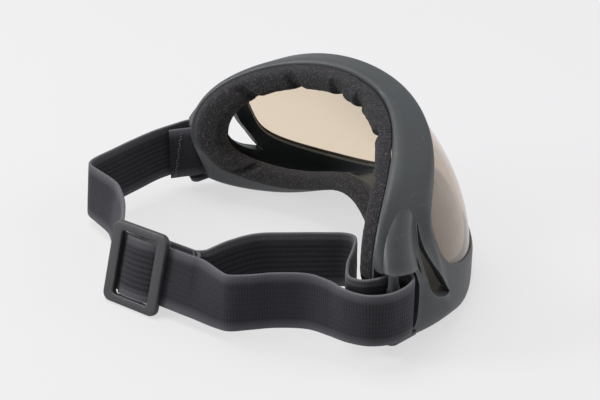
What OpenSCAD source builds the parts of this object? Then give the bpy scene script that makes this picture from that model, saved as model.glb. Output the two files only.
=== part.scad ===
// Wind and dust goggles with one wrap-round lens, a foam face seal and an elastic head strap.
// The origin is the middle of the face flange at eye height. The lens looks along -Y.

/* [Face flange] */
// Half the width of the face flange
flange_half_w = 77; // [72:1:80]
// Height of the flange above eye height
flange_top = 46; // [42:1:48]
// Depth of the flange below eye height
flange_bottom = 26; // [24:1:28]
// How far the temples sweep back behind the brow
flange_sweep = 43; // [38:1:46]
// Width of the flat land that carries the foam
land_w = 10; // [8:1:12]
// Height of the nose arch
nose_rise = 17.5; // [14:0.5:19]
// Half width of the nose arch
nose_half_w = 35; // [30:1:38]

/* [Shell] */
// Wall thickness of the moulded shell
wall = 2.6; // [2:0.2:3.2]
// How far the shell stands out beyond the flange
shell_proud = 2.6; // [2:0.1:4]
// Depth of the shell below eye height
shell_bottom = 35; // [34.5:0.5:35.5]
// How far the side arms bulge out to carry the strap
arm_bulge = 6.5; // [6:0.5:7]
// Width of a side vent at its lower end
vent_w = 7; // [5:0.5:8]

/* [Lens] */
// Thickness of the lens
lens_t = 1.8; // [1.2:0.1:2.4]
// How far back the lens wraps from its middle to the sides of its opening
lens_wrap = 46.8; // [42:0.2:50]
// Reach of the lens in front of the flange at mid height
lens_reach = 39.9; // [37:0.1:42]
// How far each side of the lens opening stays inside the flange's half width
opening_inset = 1.6; // [0:0.2:3]
// Height of the lens opening above eye height
opening_top = 42.4; // [39:0.2:43]
// Depth of the lens opening below eye height
opening_bottom = 18.2; // [16:0.2:20]
// How far the lens edge sits in its groove
groove_depth = 2.2; // [1.4:0.2:2.6]

/* [Foam] */
// Thickness of the face foam
foam_t = 7; // [5:0.5:8]
// Width of the face foam
foam_w = 12; // [10:0.5:13]
// Cushion past the flange edge over the cheeks and nose
foam_over = 3; // [1:0.5:3.5]
// Depth of the vent notches in the foam
notch_depth = 3.5; // [2:0.5:5]

/* [Strap] */
// Width of the elastic strap
strap_w = 25; // [23:0.5:25.5]
// Thickness of the elastic strap
strap_t = 1.6; // [1.2:0.1:1.8]
// Height of the strap's middle where it passes the posts
strap_level = -11.5; // [-13:0.5:-10]
// How far the strap posts stand outside the flange
post_out = 8; // [7.5:0.5:8.5]
// Fore and aft place of the strap posts
post_y = 38; // [37:0.5:38.5]
// Diameter of a strap post
post_d = 4; // [3:0.5:4.5]

/* [Slider] */
// Height of the slider buckle
slider_h = 34.5; // [33:0.5:35.5]
// Length of the slider buckle along the strap
slider_l = 28.5; // [26:0.5:30]
// Thickness of the slider's rails and bars
slider_t = 2.6; // [2:0.2:3.2]
// Width of a slider bar
bar_w = 5; // [4.4:0.2:5.6]
// Play between the strap and what it runs through
strap_play = 0.3; // [0.2:0.05:0.4]

/* [Hidden] */
// The sweep of the flange follows this power of the distance from the middle
sweep_power = 2.17;
// The upper and lower halves of an outline are superellipses of these powers
brow_power = 2.26;
cheek_power = 2.3;
opening_brow_power = 2.25;
opening_cheek_power = 3.9;
opening_mid = 8.4;
opening_half_w = flange_half_w - opening_inset;
lens_r = (pow(opening_half_w, 2) + pow(lens_wrap, 2)) / (2 * lens_wrap);
// The lens leans back towards the brow: slope and radius of its profile
lens_mid_z = -12;
lens_slope = 0.173;
lens_profile_r = 79.4;
front_nose_rise = 14;
front_nose_half_w = 24;
rim_w = 4;
arm_z = -12;
arm_h = 20;
body_half_w = flange_half_w + shell_proud + 1.9;
post_x = flange_half_w + post_out;
body_rear_power = 9;
body_front_power = 4.5;
body_nose_rise = 20.5;
body_nose_half_w = 41;
brow_lip = 1.4;
lens_gap = 0.15;
// Steps round the ring, closer together at the top and bottom middle, and rings across the lens
ring_steps = 96;
lens_rings = 6;
function ring_angle(i) =
    let (half = ring_steps / 2, s = 2 * (i % half) / half - 1)
    (i < half ? 90 : 270) + 90 * s * sqrt(abs(s));
// What the goggles stand on
floor_z = -shell_bottom + 2.2;

// Outlines: superellipses in X and Z with separate powers above and below, and a nose arch
function signed_power(v, p) = sign(v) * pow(abs(v), p);
function outline(half_w, top, bottom, high_power, low_power, rise, rise_w, a) =
    let (up = sin(a) > 0,
         p = 2 / (up ? high_power : low_power),
         x = half_w * signed_power(cos(a), p),
         z = (up ? top : bottom) * signed_power(sin(a), p))
    [x, z + (up ? 0 : rise * exp(-pow(x / rise_w, 2)))];
function blend(a, b, t) = a + (b - a) * t;
function unit(v) = v / norm(v);
function face_y(x) = flange_sweep * pow(abs(x) / flange_half_w, sweep_power);
function flange_outline(inset, a) =
    outline(flange_half_w - inset, flange_top - inset, flange_bottom - inset * 0.6,
            brow_power, cheek_power, nose_rise, nose_half_w, a);
// Point on the flange: inset from its edge, and set back along its normal towards the wearer
function flange_pt(a, inset, back) =
    let (q = flange_outline(inset, a),
         slope = sign(q[0]) * flange_sweep * sweep_power / flange_half_w
             * pow(abs(q[0]) / flange_half_w, sweep_power - 1),
         n = unit([-slope, 1]))
    [q[0] + n[0] * back, face_y(q[0]) + n[1] * back, q[1]];
// Front of the lens, as wide arcs stacked on a curved profile that leans back to the brow
function lens_y(x, z, back) =
    let (r = lens_r - back)
    -lens_reach + lens_slope * (z - lens_mid_z) + pow(z - lens_mid_z, 2) / (2 * lens_profile_r)
        + lens_r - sqrt(r * r - min(x * x, pow(r - 2, 2)));
function opening_outline(grow, a) =
    let (q = outline(opening_half_w + grow, opening_top - opening_mid + grow, opening_bottom + opening_mid + grow,
                     opening_brow_power, opening_cheek_power, front_nose_rise, front_nose_half_w, a))
    [q[0], q[1] + opening_mid];
// Point beside the lens opening: so far outwards along the lens skin, and so far proud of it
function rim_out(a) =
    let (q = opening_outline(0, a), d = unit(opening_outline(1, a) - q), s = skin_slopes(q))
    unit([d[0], s[0] * d[0] + s[1] * d[1], d[1]]);
function skin_slopes(q) =
    [q[0] / sqrt(lens_r * lens_r - q[0] * q[0]), lens_slope + (q[1] - lens_mid_z) / lens_profile_r];
function rim_pt(a, along, proud) =
    let (q = opening_outline(0, a), s = skin_slopes(q))
    [q[0], lens_y(q[0], q[1], 0), q[1]] + rim_out(a) * along + unit([s[0], -1, s[1]]) * proud;
function above(a) = max(0, sin(a));
// Lower outline of the shell, with deep corners that are squarest at the rear, where the arms are
function body_outline(a, t) =
    let (p = blend(body_rear_power, body_front_power, t),
         x = body_half_w * signed_power(cos(a), 0.62),
         z = shell_bottom * pow(max(0, 1 - pow(abs(x) / body_half_w, p)), 1 / p))
    [x, -min(z, -80 * sin(a)) + body_nose_rise * exp(-pow(abs(x) / body_nose_half_w, 2.4))];
// Normal of the shell's outline in X and Z
function outward(a, t) =
    sin(a) < 0 ? let (d = unit(body_outline(a + 0.5, t) - body_outline(a - 0.5, t))) [d[1], 0, -d[0]]
               : let (d = unit(flange_outline(-1, a) - flange_outline(0, a))) [d[0], 0, d[1]];
function shell_pt(a, t, grow, bulge) =
    let (f = flange_outline(-grow * (1 - 0.5 * above(a)), a),
         r = rim_pt(a, rim_w, grow * 0.3 + brow_lip * above(a)),
         q = body_outline(a, t),
         lower = sin(a) < 0,
         rear_xz = lower ? blend(f, q, min(1, t * 12)) : f,
         front = lower ? [q[0], r[1] - 2 * min(1, -3 * sin(a)), q[1]] : r,
         back = [rear_xz[0], face_y(flange_outline(0, a)[0]), rear_xz[1]],
         p = blend(back, front, t),
         side = exp(-pow((p[2] - arm_z) / arm_h, 4)) * min(1, abs(p[0]) / 60))
    p + [sign(f[0]) * side * bulge, 0, 0];
function section(a) = [
    flange_pt(a, land_w, 0),
    flange_pt(a, 0, 0),
    shell_pt(a, 0.06, shell_proud * 0.7, arm_bulge * 0.7),
    shell_pt(a, 0.25, shell_proud, arm_bulge),
    shell_pt(a, 0.5, shell_proud, arm_bulge),
    shell_pt(a, 0.75, shell_proud, arm_bulge * 0.7),
    shell_pt(a, 1, shell_proud, arm_bulge * 0.2),
    rim_pt(a, rim_w * 0.6, 1.2 + brow_lip * above(a)),
    rim_pt(a, 0, 0.7),
    rim_pt(a, 0, -lens_t - 2),
    shell_pt(a, 0.85, shell_proud, arm_bulge * 0.3) - outward(a, 0.85) * (wall + 1),
    shell_pt(a, 0.5, shell_proud, arm_bulge) - outward(a, 0.5) * wall,
    shell_pt(a, 0.25, shell_proud, arm_bulge) - outward(a, 0.25) * wall,
    flange_pt(a, 1.2, -wall),
    flange_pt(a, land_w, -wall)
];

// Skin over closed rows of points that themselves close into a ring
function ring_faces(n, m) = [for (i = [0:n - 1]) for (j = [0:m - 1])
    let (k = (i + 1) % n, l = (j + 1) % m)
    each [[i * m + j, i * m + l, k * m + l], [i * m + j, k * m + l, k * m + j]]];
module ring_loft(rows) {
    polyhedron(points = [for (r = rows) each r], faces = ring_faces(len(rows), len(rows[0])), convexity = 8);
}

// Crescent vent in the side wall between the lens rim and the strap post, as an outline in Y and Z
function curve3(p, q, r, t) = p * (1 - t) * (1 - t) + q * 2 * t * (1 - t) + r * t * t;
vent_top = [22.3, 17];
vent_bend = [23.4, -8];
vent_low = [7.5, -15.5];
vent_steps = 12;
function vent_mid(t) = curve3(vent_top, vent_bend, vent_low, t);
function vent_side(t, side) =
    let (d = vent_mid(t + 0.01) - vent_mid(t - 0.01),
         n = [-d[1], d[0]] / norm(d),
         w = vent_w / 2 * sin(180 * pow(t, 1.45)))
    vent_mid(t) + n * side * (w + 0.3);
module vent_outline() {
    polygon(concat([for (i = [0:vent_steps]) vent_side(i / vent_steps, 1)],
                   [for (i = [vent_steps:-1:0]) vent_side(i / vent_steps, -1)]));
}
// Slot in front of the strap post, and the passage behind it that the strap comes back through
slot_h = strap_w + 3.8;
slot_front = 9.5;
slot_top = strap_level + slot_h / 2;
slot_low = strap_level - slot_h / 2;
module slot_outline() {
    hull() {
        translate([post_y - post_d / 2 - 2.5, slot_top - 2.5]) circle(d = 5, $fn = 24);
        translate([post_y - post_d / 2 - 2.5, slot_low + 2.5]) circle(d = 5, $fn = 24);
        translate([post_y - slot_front + 1.5, slot_top - 3]) circle(d = 6, $fn = 24);
        translate([post_y - slot_front, slot_low + 4]) circle(d = 8, $fn = 24);
    }
}
// Bars above and below the slot that carry the ends of the post
module post_bar(z) {
    translate([0, 0, z]) linear_extrude(1.8) hull() {
        translate([post_x, post_y]) circle(d = post_d + 1.6, $fn = 24);
        translate([post_x - 3.4, post_y + 1]) circle(d = 5, $fn = 24);
        translate([post_x - 1.8, post_y - 14]) circle(d = 4, $fn = 24);
    }
}
module post() {
    translate([post_x, post_y, slot_low - 1]) cylinder(d = post_d, h = slot_h + 2, $fn = 24);
}
module side_prism(x0, x1) {
    translate([x0, 0, 0]) rotate([90, 0, 90]) linear_extrude(x1 - x0) children();
}
passage_x = [post_x - post_d / 2 - 4.6, post_x - post_d / 2 + 0.2];
passage_lead = 3.5;
passage_ease = 1.7;
arm_rear = flange_sweep + 12;
module passage(from_y, to_x) {
    translate([passage_x[0], from_y, slot_low]) cube([to_x - passage_x[0], arm_rear - from_y, slot_h]);
}
module side_cuts() {
    side_prism(post_x - 25, post_x + 15) vent_outline();
    side_prism(post_x - 3.5, post_x + 15) slot_outline();
    passage(post_y - slot_front - passage_lead, passage_x[1]);
    passage(post_y + 0.6, passage_x[1] + passage_ease);
}
module both_sides() {
    children();
    mirror([1, 0, 0]) children();
}

// Lens between two skins, drawn as rings that shrink to the middle
lens_hub_z = 8;
function lens_pt(a, r, back, grow) =
    let (q = opening_outline(0, a), d = rim_out(a) * grow,
         x = (q[0] + d[0]) * r, z = lens_hub_z + (q[1] + d[2] - lens_hub_z) * r)
    [x, lens_y(x, z, back), z];
module lens_solid(grow, front, back) {
    n = ring_steps;
    count = n * lens_rings;
    skin = function (at) [for (k = [1:lens_rings]) for (i = [0:n - 1]) lens_pt(ring_angle(i), k / lens_rings, at, grow)];
    patch = function (base, flip) [for (k = [0:lens_rings - 2]) for (i = [0:n - 1])
        let (a = base + k * n + i, b = base + k * n + (i + 1) % n, c = b + n, d = a + n)
        each (flip ? [[a, c, b], [a, d, c]] : [[a, b, c], [a, c, d]])];
    hub = function (centre, base, flip) [for (i = [0:n - 1])
        flip ? [centre, base + i, base + (i + 1) % n] : [centre, base + (i + 1) % n, base + i]];
    rim = [for (i = [0:n - 1])
        let (a = count - n + i, b = count - n + (i + 1) % n) each [[a, b, b + count], [a, b + count, a + count]]];
    polyhedron(points = concat(skin(front), skin(back), [lens_pt(0, 0, front, 0)], [lens_pt(0, 0, back, 0)]),
               faces = concat(hub(2 * count, 0, false), patch(0, false), hub(2 * count + 1, count, true),
                              patch(count, true), rim),
               convexity = 6);
}

module face_frame() {
    color("dimgray")
    resize([0, 0, 0])
    union() {
    difference() {
        union() {
            ring_loft([for (i = [0:ring_steps - 1]) section(ring_angle(i))]);
            both_sides() {
                post_bar(slot_low - 1.2);
                post_bar(slot_top - 0.6);
            }
        }
        both_sides() side_cuts();
        lens_solid(groove_depth, -lens_gap, lens_t + lens_gap);
        translate([-150, -150, floor_z - 50]) cube([300, 300, 50]);
    }
    both_sides() post();
    }
}

module lens() {
    color([0.86, 0.78, 0.66, 0.4])
    lens_solid(groove_depth - lens_gap, 0, lens_t);
}

// Face foam, glued to the flange land, with vent notches cut into its inner edge
notch_angles = [38, 62, 84, 96, 118, 142, 218, 322];
notch_half_angle = 4;
function notch(a) = max([for (n = notch_angles) abs(a - n) < notch_half_angle ? 1 : 0]);
foam_seat = 0.3;
function over(a) = foam_over * min(1, max(0, -sin(a) - 0.3) * 4);
module face_foam() {
    color([0.2, 0.2, 0.21])
    ring_loft([for (i = [0:ring_steps - 1])
        let (a = ring_angle(i), cut = notch_depth * notch(a))
        let (w = foam_w - 0.5 * above(a) - cut)
        [flange_pt(a, w, foam_seat), flange_pt(a, w - 0.6, foam_t * 0.6),
         flange_pt(a, w - 2.5 + cut * 0.4, foam_t), flange_pt(a, 4 - over(a), foam_t),
         flange_pt(a, 1.6 - over(a), foam_t * 0.7), flange_pt(a, 0.8 - over(a), foam_seat)]]);
}

// Strap: the webbing is swept along a smooth route, each stop giving the middle of the webbing
// as x, y, z and its lean in degrees towards the wearer's head at the top edge
slider_turn = 24;
slider_lean = 18;
slider_corner = 3.6;
window_play = 1.05;
rail_w = (slider_h - strap_w) / 2 - window_play;
bar_t = 2.2;
link_h = 1.6;
lap = strap_t + strap_play;
plate_at = strap_t / 2 + strap_play;
bar_at = -strap_t * 1.5 - 2 * strap_play - bar_t / 2;
leg_out = -lap;
leg_in = 2 * bar_at - leg_out;
inner_at = leg_in - lap;
loop_r = (leg_out - leg_in) / 2;
slide_travel = 10;
leg_end = -9;
bar_reach = slider_h / 2 - rail_w + link_h;
slider_low = max(slider_h / 2 * cos(slider_lean) - plate_at * sin(slider_lean),
                 bar_reach * cos(slider_lean) - (bar_at - bar_t / 2) * sin(slider_lean));
slider_mid = [1.4, 104.8, floor_z + slider_low];
function beside_slider(s, off) =
    let (c = cos(slider_turn), d = sin(slider_turn), out = off * cos(slider_lean))
    [slider_mid[0] + c * s - d * out, slider_mid[1] + d * s + c * out,
     slider_mid[2] + off * sin(slider_lean), slider_lean];
// The webbing on the way out runs the other way, so its lean changes sign
function outbound(stop) = [stop[0], stop[1], stop[2], -stop[3]];
// Stops from the end of the strap onwards, counted from the posts and from the slider
far_post = [post_x, post_y, strap_level];
near_post = [-post_x, post_y, strap_level];
function from(place, stops) = [for (q = stops) [place[0] + q[0], place[1] + q[1], place[2] + q[2], q[3]]];
far_loop = [
    [3, 11.2, -2.5, 0], [-0.4, 5.6, -1.5, 0], [-3.6, 0.5, -0.5, 0], [-2.4, -4.4, -0.5, 0],
    [1, -6.1, -0.5, 0], [4.2, -4, -0.5, 0], [5.4, 1, -0.6, 1], [5.8, 8, -1.5, 2],
    [4.8, 18, -2.1, 3], [1.6, 30, -2.9, 5], [-2, 42, -3.6, 5], [-4.2, 50.8, -4.1, 2]];
far_run = [
    [77.6, -11.4, 0.9, -3], [73.6, -9.6, 0.8, -6], [65.1, -10.4, 0.8, -8],
    [53.1, -11.4, 0.7, -11], [44.4, -9.6, 0.4, -12], [36, -6.6, -0.1, -14],
    [26, -1.4, -0.2, -16], [14.6, 4.8, 0, -18]];
near_run = [
    [-40, -15.4, 0.4, -7], [-45.5, -17.6, 1, -3], [-50, -24.4, 1.7, 0],
    [-54.4, -32.8, 2.3, 0], [-62.4, -42.6, 3.1, 0]];
near_loop = [
    [14.5, 20, -1.5, 1], [4.5, 18, -0.5, 6], [-3, 13.6, 0, 9], [-6.2, 6.6, 0, 8],
    [-5.8, -0.5, 0, 5], [-3.8, -5.6, 0, 2], [-1, -8, 0, 0], [2.2, -6.4, 0, 0],
    [3.8, -1.5, 0, 0], [4.1, 4.5, 0, 0], [6.2, 10, -0.2, 0], [12, 12.6, -0.4, 0],
    [21, 7.4, -0.6, 0]];
inner_run = [
    [-55.8, -67.8, 3.7, 0], [-47.4, -74.2, 3.5, 0], [-42, -72.8, 3.3, 0],
    [-36.6, -65.2, 2.9, 2], [-29.2, -53.8, 2.3, 4], [-23, -42.3, 1.9, 6],
    [-21.4, -31, 0.8, 9], [-20.4, -21.4, -1.5, 13]];
straight_out = [12, 4, -8, -20, -26, -31];
straight_in = [-21.5, -20, -10, 1];
band_route = concat(from(far_post, far_loop), from(slider_mid, far_run),
                    [for (s = straight_out) outbound(beside_slider(s, 0))],
                    from(slider_mid, near_run), from(near_post, near_loop), from(slider_mid, inner_run),
                    [for (s = straight_in) beside_slider(s, inner_at)]);
// The sewn end loop, drawn flat in the slider's own frame
bar_route = concat([for (s = [leg_end, -4, 0]) [s, leg_out, 0, 0]],
                   [for (a = [75:-30:-75]) [bar_w / 2 + 0.1 + loop_r * cos(a), bar_at + loop_r * sin(a), 0, 0]],
                   [for (s = [0, -4, leg_end]) [s, leg_in, 0, 0]]);
function between(p, q, r, s, t) =
    0.5 * (2 * q + (r - p) * t + (2 * p - 5 * q + 4 * r - s) * t * t + (3 * q - p - 3 * r + s) * t * t * t);
function smooth(route, steps) =
    let (n = len(route))
    concat([for (i = [0:n - 2]) for (j = [0:steps - 1])
                between(route[max(i - 1, 0)], route[i], route[i + 1], route[min(i + 2, n - 1)], j / steps)],
           [route[n - 1]]);
// One rectangle of the webbing at stop i of a smoothed route
function webbing(route, i, width, thickness) =
    let (a = route[max(i - 1, 0)], b = route[min(i + 1, len(route) - 1)],
         run = [b[0] - a[0], b[1] - a[1]] / norm([b[0] - a[0], b[1] - a[1]]),
         out = [-run[1], run[0]],
         p = route[i],
         up = [-out[0] * sin(p[3]), -out[1] * sin(p[3]), cos(p[3])] * width / 2,
         face = [out[0] * cos(p[3]), out[1] * cos(p[3]), sin(p[3])] * thickness / 2,
         mid = [p[0], p[1], p[2]])
    [mid + up + face, mid + up - face, mid - up - face, mid - up + face];
module ribbon(route, width, thickness) {
    n = len(route);
    rows = [for (i = [0:n - 1]) webbing(route, i, width, thickness)];
    polyhedron(points = [for (r = rows) each r],
               faces = concat([[0, 1, 2], [0, 2, 3]],
                              [for (i = [0:n - 2]) for (j = [0:3])
                                  let (a = i * 4 + j, b = i * 4 + (j + 1) % 4)
                                  each [[a, a + 4, b + 4], [a, b + 4, b]]],
                              [[4 * n - 1, 4 * n - 2, 4 * n - 3], [4 * n - 1, 4 * n - 3, 4 * n - 4]]),
               convexity = 12);
}
module in_slider() {
    translate(slider_mid) rotate([slider_lean, 0, slider_turn]) children();
}

module strap_band() {
    color([0.17, 0.17, 0.19])
    ribbon(smooth(band_route, 3), strap_w, strap_t);
}

module strap_bar_loop() {
    color([0.17, 0.17, 0.19])
    in_slider() ribbon(bar_route, strap_w, strap_t);
}

module plate_blank() {
    cube([slider_l - 2 * slider_corner, slider_t, slider_h], center = true);
    cube([slider_l, slider_t, slider_h - 2 * slider_corner], center = true);
    for (x = [-1, 1]) for (z = [-1, 1])
        translate([x * (slider_l / 2 - slider_corner), 0, z * (slider_h / 2 - slider_corner)])
            rotate([90, 0, 0]) cylinder(r = slider_corner, h = slider_t, center = true, $fn = 32);
}
module slider() {
    link_d = plate_at + slider_t / 2 - bar_at + bar_t / 2;
    color([0.3, 0.3, 0.32])
    in_slider() {
        translate([0, plate_at + slider_t / 2, 0])
        difference() {
            plate_blank();
            cube([slider_l - 2 * bar_w, slider_t + 1, slider_h - 2 * rail_w], center = true);
        }
        translate([0, bar_at, 0]) cube([bar_w, bar_t, 2 * bar_reach], center = true);
        for (s = [-1, 1])
            translate([0, bar_at - bar_t / 2 + link_d / 2, s * (bar_reach - link_h / 2)])
                cube([bar_w, link_d, link_h], center = true);
    }
}

face_frame();
lens();
face_foam();
strap_band();
strap_bar_loop();
slider();
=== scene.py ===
"""Looks of the wrap-round goggles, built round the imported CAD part.

Shape functions work in millimetres in the CAD's own frame; a mesh is made in metres.
"""

import math

import bmesh
import bpy
import numpy as np
from mathutils import Matrix, Vector
from mathutils.bvhtree import BVHTree
from mathutils.noise import noise


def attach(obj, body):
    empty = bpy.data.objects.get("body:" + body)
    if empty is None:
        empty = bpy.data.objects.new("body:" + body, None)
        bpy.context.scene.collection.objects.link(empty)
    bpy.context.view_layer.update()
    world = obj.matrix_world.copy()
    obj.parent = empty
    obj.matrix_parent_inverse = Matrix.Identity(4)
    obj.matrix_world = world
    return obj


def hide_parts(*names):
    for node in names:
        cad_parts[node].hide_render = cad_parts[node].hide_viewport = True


MM = 0.001
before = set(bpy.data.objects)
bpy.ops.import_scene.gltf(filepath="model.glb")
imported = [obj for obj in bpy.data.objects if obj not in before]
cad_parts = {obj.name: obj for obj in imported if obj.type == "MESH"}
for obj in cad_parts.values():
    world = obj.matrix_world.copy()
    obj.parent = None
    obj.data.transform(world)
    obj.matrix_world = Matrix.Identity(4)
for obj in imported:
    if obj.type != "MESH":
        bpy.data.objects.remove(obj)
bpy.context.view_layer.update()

# Sizes of the CAD part, in millimetres
flange_half_w, flange_top, flange_bottom, flange_sweep = 77, 46, 26, 43
land_w, nose_rise, nose_half_w = 10, 17.5, 35
wall, shell_proud, shell_bottom, arm_bulge, vent_w = 2.6, 2.6, 35, 6.5, 7
lens_t, lens_wrap, lens_reach = 1.8, 46.8, 39.9
opening_half_w, opening_top, opening_bottom, groove_depth = flange_half_w - 1.6, 42.4, 18.2, 2.2
lens_r = (opening_half_w**2 + lens_wrap**2) / (2 * lens_wrap)
foam_t, foam_w, foam_over, notch_depth, foam_seat = 7, 12, 3, 3.5, 0.3
strap_w, strap_t, strap_level, post_x, post_y, post_d = 25, 1.6, -11.5, 85, 38, 4
slider_h, slider_l, slider_t, bar_w, strap_play, bar_t = 34.5, 28.5, 2.6, 5, 0.3, 2.2
sweep_power, brow_power, cheek_power = 2.17, 2.26, 2.3
opening_brow_power, opening_cheek_power, opening_mid = 2.25, 3.9, 8.4
lens_mid_z, lens_slope, lens_profile_r = -12, 0.173, 79.4
front_nose_rise, front_nose_half_w, rim_w = 14, 24, 4
arm_z, arm_h, body_half_w, body_rear_power, body_front_power = -12, 20, 81.5, 9, 4.5
body_nose_rise, body_nose_half_w, brow_lip, lens_gap = 20.5, 41, 1.4, 0.15
floor_z = -shell_bottom + 2.2
slot_h, slot_front = strap_w + 3.8, 9.5
slot_top, slot_low = strap_level + slot_h / 2, strap_level - slot_h / 2


def new_object(name, data):
    ob = bpy.data.objects.new(name, data)
    bpy.context.scene.collection.objects.link(ob)
    return ob


# Camera: the photograph's own view, found by matching the part's outlines to it
def make_camera():
    data = bpy.data.cameras.new("camera")
    data.lens, data.sensor_width, data.sensor_fit = 90, 36, "HORIZONTAL"
    data.clip_start, data.clip_end = 0.01, 30
    right = Vector((-0.5025, -0.8646, 0)).normalized()
    up = Vector((0.3912, -0.2273, 0.8918)).normalized()
    back = right.cross(up).normalized()
    place = Matrix.Translation(Vector((-494.75, 317.22, 285.88)) * MM)
    cam = new_object("camera", data)
    cam.matrix_world = place @ Matrix((right, up, back)).transposed().to_4x4()
    bpy.context.scene.camera = cam


make_camera()


# Shape functions, the same as the CAD's
def sin(a):
    return math.sin(math.radians(a))


def cos(a):
    return math.cos(math.radians(a))


def signed_power(v, p):
    return math.copysign(abs(v) ** p, v)


def mix(a, b, t):
    return a + (b - a) * t


def vec(*c):
    return np.array(c, float)


def unit(v):
    return v / np.linalg.norm(v)


def outline(half_w, top, bottom, high, low, rise, rise_w, a):
    """The point at angle a on a rounded outline whose lower middle is lifted over the nose."""
    up = sin(a) > 1e-9
    p = 2 / (high if up else low)
    x = half_w * signed_power(cos(a), p)
    z = (top if up else bottom) * signed_power(sin(a), p)
    return vec(x, z + (0 if up else rise * math.exp(-((x / rise_w) ** 2))))


def face_y(x):
    """How far the face falls back at a distance x from the middle."""
    return flange_sweep * (abs(x) / flange_half_w) ** sweep_power


def flange_outline(inset, a):
    return outline(flange_half_w - inset, flange_top - inset, flange_bottom - inset * 0.6,
                   brow_power, cheek_power, nose_rise, nose_half_w, a)


def flange_pt(a, inset, back):
    """A point on the face flange, inset from its edge and lifted off it towards the face."""
    q = flange_outline(inset, a)
    slope = math.copysign(1, q[0]) * flange_sweep * sweep_power / flange_half_w \
        * (abs(q[0]) / flange_half_w) ** (sweep_power - 1)
    n = unit(vec(-slope, 1))
    return vec(q[0] + n[0] * back, face_y(q[0]) + n[1] * back, q[1])


def lens_y(x, z, back):
    """Where the lens's outer skin lies, or the surface a distance back behind it."""
    r, up = lens_r - back, z - lens_mid_z
    wrap = lens_r - math.sqrt(r * r - min(x * x, (r - 2) ** 2))
    return -lens_reach + lens_slope * up + up ** 2 / (2 * lens_profile_r) + wrap


def opening_outline(grow, a):
    top, bottom = opening_top - opening_mid + grow, opening_bottom + opening_mid + grow
    q = outline(opening_half_w + grow, top, bottom, opening_brow_power, opening_cheek_power,
                front_nose_rise, front_nose_half_w, a)
    return vec(q[0], q[1] + opening_mid)


def skin_slopes(q):
    """The slopes of the lens's skin across and up, where the outline is at q."""
    across = q[0] / math.sqrt(lens_r * lens_r - q[0] * q[0])
    return vec(across, lens_slope + (q[1] - lens_mid_z) / lens_profile_r)


def rim_out(a):
    """The direction along the lens's skin, away from its opening."""
    q = opening_outline(0, a)
    d, s = unit(opening_outline(1, a) - q), skin_slopes(q)
    return unit(vec(d[0], s[0] * d[0] + s[1] * d[1], d[1]))


def rim_pt(a, along, proud):
    """A point by the lens's edge, along its skin from the opening and proud of it."""
    q = opening_outline(0, a)
    s = skin_slopes(q)
    on_skin = vec(q[0], lens_y(q[0], q[1], 0), q[1])
    return on_skin + rim_out(a) * along + unit(vec(s[0], -1, s[1])) * proud


def above(a):
    return max(0.0, sin(a))


def body_outline(a, t):
    """The shell's lower outline, from the flange at t = 0 to the lens at t = 1."""
    p = mix(body_rear_power, body_front_power, t)
    x = body_half_w * signed_power(cos(a), 0.62)
    z = shell_bottom * max(0.0, 1 - (abs(x) / body_half_w) ** p) ** (1 / p)
    nose = body_nose_rise * math.exp(-((abs(x) / body_nose_half_w) ** 2.4))
    return vec(x, -min(z, -80 * sin(a)) + nose)


def outward(a, t):
    """The direction straight out of the shell's wall."""
    if sin(a) < -1e-9:
        d = unit(body_outline(a + 0.5, t) - body_outline(a - 0.5, t))
        return vec(d[1], 0, -d[0])
    d = unit(flange_outline(-1, a) - flange_outline(0, a))
    return vec(d[0], 0, d[1])


def shell_pt(a, t, grow, bulge):
    """A point on the shell's outside, from the flange at t = 0 to the lens's rim at t = 1."""
    f = flange_outline(-grow * (1 - 0.5 * above(a)), a)
    r = rim_pt(a, rim_w, grow * 0.3 + brow_lip * above(a))
    q = body_outline(a, t) if sin(a) < 1e-9 else f
    lower = sin(a) < -1e-9
    rear = mix(f, q, min(1, t * 12)) if lower else f
    front = vec(q[0], r[1] - 2 * min(1, -3 * sin(a)), q[1]) if lower else r
    back = vec(rear[0], face_y(flange_outline(0, a)[0]), rear[1])
    p = mix(back, front, t)
    side = math.exp(-(((p[2] - arm_z) / arm_h) ** 4)) * min(1, abs(p[0]) / 60)
    return p + vec(math.copysign(1, f[0]) * side * bulge, 0, 0)


def section(a):
    """The shell's section at one place round the ring: each point with the radius of its corner."""
    return [
        (flange_pt(a, land_w, 0), 0.7),
        (flange_pt(a, 0, 0), 1.1),
        (shell_pt(a, 0.06, shell_proud * 0.7, arm_bulge * 0.7), 1.4),
        (shell_pt(a, 0.25, shell_proud, arm_bulge), 30),
        (shell_pt(a, 0.5, shell_proud, arm_bulge), 30),
        (shell_pt(a, 0.75, shell_proud, arm_bulge * 0.7), 30),
        (shell_pt(a, 1, shell_proud, arm_bulge * 0.2), 3),
        (rim_pt(a, rim_w * 0.6, 1.2 + brow_lip * above(a)), 1.2),
        (rim_pt(a, 0, 0.7), 0.25),
        (rim_pt(a, 0, lens_gap), 0.05),
        (rim_pt(a, groove_depth, lens_gap), 0.05),
        (rim_pt(a, groove_depth, -lens_t - lens_gap), 0.05),
        (rim_pt(a, 0, -lens_t - lens_gap), 0.05),
        (rim_pt(a, 0, -lens_t - 2), 0.4),
        (shell_pt(a, 0.85, shell_proud, arm_bulge * 0.3)
         - outward(a, 0.85) * (wall + 1), 30),
        (shell_pt(a, 0.5, shell_proud, arm_bulge) - outward(a, 0.5) * wall, 30),
        (shell_pt(a, 0.25, shell_proud, arm_bulge) - outward(a, 0.25) * wall, 30),
        (flange_pt(a, 1.2, -wall), 0.8),
        (flange_pt(a, land_w, -wall), 0.7),
    ]


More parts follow.
